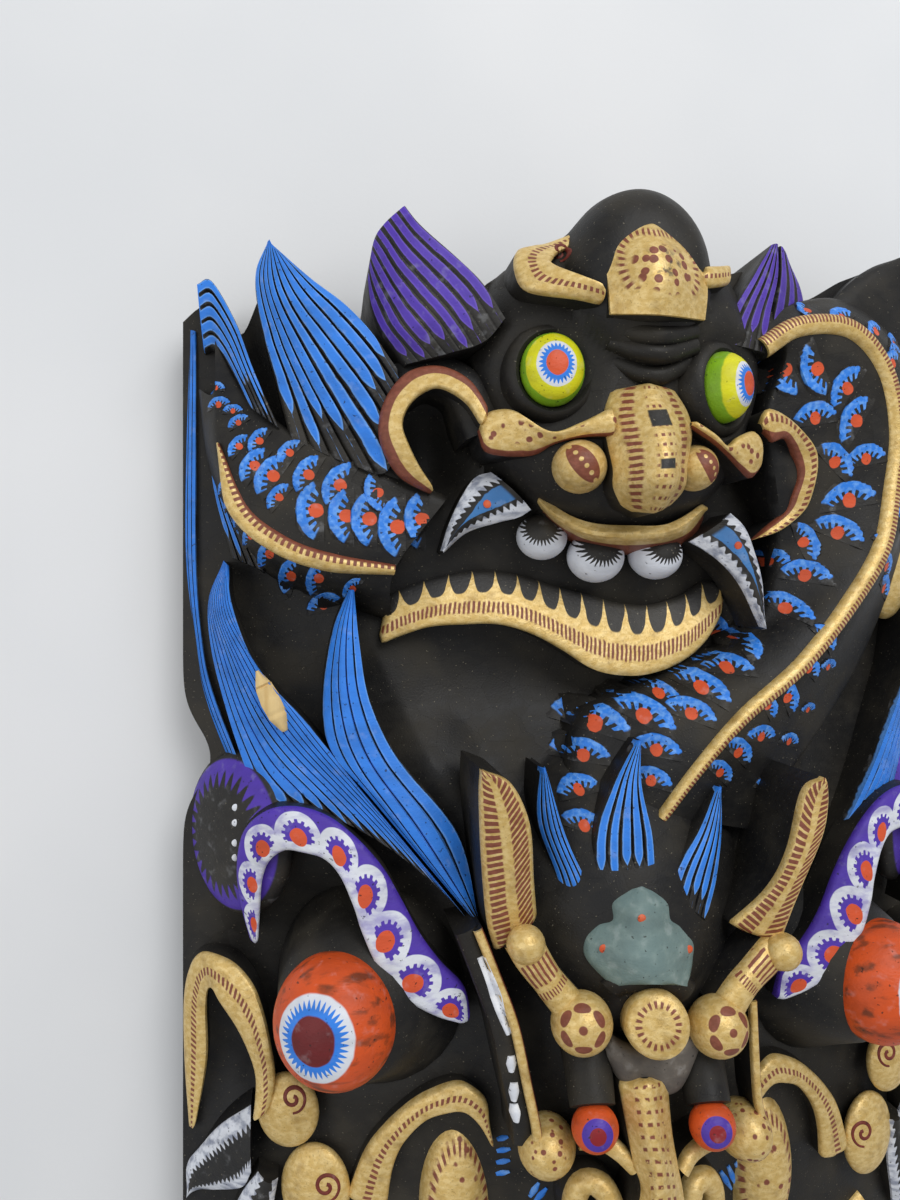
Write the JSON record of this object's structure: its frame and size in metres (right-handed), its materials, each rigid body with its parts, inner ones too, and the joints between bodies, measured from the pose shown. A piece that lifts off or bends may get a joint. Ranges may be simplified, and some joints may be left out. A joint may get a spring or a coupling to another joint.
{
  "type": "nuo mask",
  "caption": "Large carved and painted wooden nuo mask with a horned beast, scaled bodies, blue flames and a dragon's head, hollow at the back.",
  "frame": {"origin": "under the middle of the mask, on the plane of its flat back rim", "axes": "+Z out of the face, +Y to the crown, +X to the right as seen from the front"},
  "size_m": [0.35, 0.542, 0.1212],
  "materials": {
    "black_painted_wood": "matte brushed paint, dusty and rubbed on the edges",
    "bare_wood": "unpainted, gouge marks",
    "blue_paint": "matte paint in brushed stripes",
    "purple_paint": "matte paint",
    "gold_paint": "bronze powder paint with red-brown strokes",
    "white_paint": "matte paint, thin in places",
    "orange_paint": "matte paint with white and blue rings",
    "yellow_paint": "matte paint with rings",
    "teal_grey_paint": "matte paint"
  },
  "bodies": {
    "root": {"mask": "black_painted_wood"}
  },
  "joints": []
}
